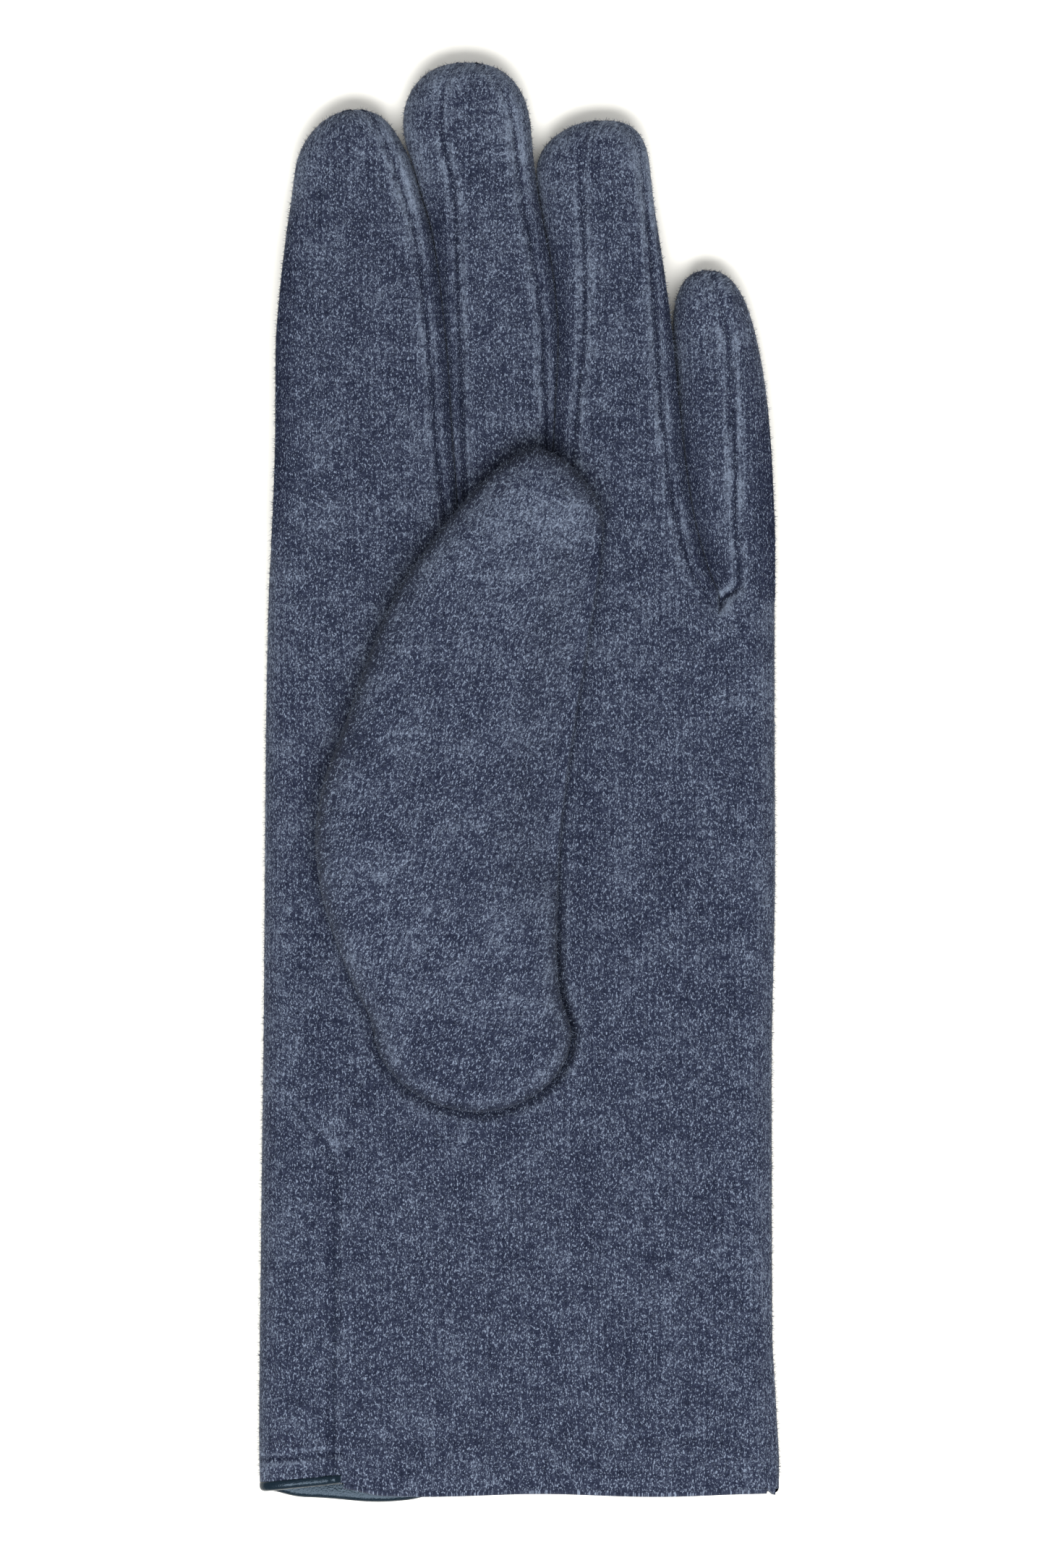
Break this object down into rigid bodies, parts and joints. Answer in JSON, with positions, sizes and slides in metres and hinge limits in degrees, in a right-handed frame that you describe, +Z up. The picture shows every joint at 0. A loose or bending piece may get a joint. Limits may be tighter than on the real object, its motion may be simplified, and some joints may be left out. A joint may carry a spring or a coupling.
{
  "type": "knitted glove",
  "caption": "Left-hand felted knit glove lying palm up, thumb folded over the palm, with sewn side strips between the fingers and a leather-look cuff binding; fingers and thumb bend.",
  "frame": {"origin": "on the resting underside of the back of the hand, halfway between the cuff edge and the middle fingertip", "axes": "+Y towards the fingertips, +Z up out of the palm, +X towards the little finger"},
  "size_m": [0.092, 0.2541, 0.0198],
  "materials": {
    "knit": "brushed melange felted knit, navy and denim blue",
    "binding_leather": "smooth leather-look binding, satin",
    "thread": "sewing thread"
  },
  "bodies": {
    "hand": {"palm_panel": "knit", "back_panel": "knit", "palm_hem": "knit", "cuff_binding": "binding_leather", "thumb_gusset": "knit", "fourchette_index_middle": "knit", "fourchette_middle_ring": "knit", "fourchette_ring_little": "knit", "side_seam_stitches": "thread", "hem_stitches": "thread", "binding_stitches": "thread", "thumb_seam_stitches": "thread"},
    "index_finger": {"index_palm_face": "knit", "index_back_face": "knit", "index_inner_fourchette": "knit"},
    "middle_finger": {"middle_palm_face": "knit", "middle_back_face": "knit", "middle_index_side_fourchette": "knit", "middle_ring_side_fourchette": "knit"},
    "ring_finger": {"ring_palm_face": "knit", "ring_back_face": "knit", "ring_middle_side_fourchette": "knit", "ring_little_side_fourchette": "knit"},
    "little_finger": {"little_palm_face": "knit", "little_back_face": "knit", "little_inner_fourchette": "knit"},
    "thumb_base": {"thumb_root": "knit"},
    "thumb_end": {"thumb_tip": "knit"}
  },
  "joints": [
    {"name": "index_curl", "type": "hinge", "parent": "hand", "child": "index_finger", "pos_m": [-0.02735, 0.063, 0.0104], "axis": [0.999, 0.045, 0], "range_deg": [0, 90]},
    {"name": "middle_curl", "type": "hinge", "parent": "hand", "child": "middle_finger", "pos_m": [-0.00275, 0.066, 0.0104], "axis": [0.9935, 0.1142, 0], "range_deg": [0, 90]},
    {"name": "ring_curl", "type": "hinge", "parent": "hand", "child": "ring_finger", "pos_m": [0.0176, 0.063, 0.0104], "axis": [0.9966, 0.0827, 0], "range_deg": [0, 90]},
    {"name": "little_curl", "type": "hinge", "parent": "hand", "child": "little_finger", "pos_m": [0.03735, 0.0498, 0.0104], "axis": [0.995, 0.0995, 0], "range_deg": [0, 90]},
    {"name": "thumb_swing", "type": "hinge", "parent": "hand", "child": "thumb_base", "pos_m": [-0.0135, -0.014, 0.0108], "axis": [0, 0, 1], "range_deg": [0, 40]},
    {"name": "thumb_lift", "type": "hinge", "parent": "thumb_base", "child": "thumb_end", "pos_m": [-0.00624, 0.01511, 0.0198], "axis": [0.9703, -0.2419, 0], "range_deg": [0, 50]}
  ]
}
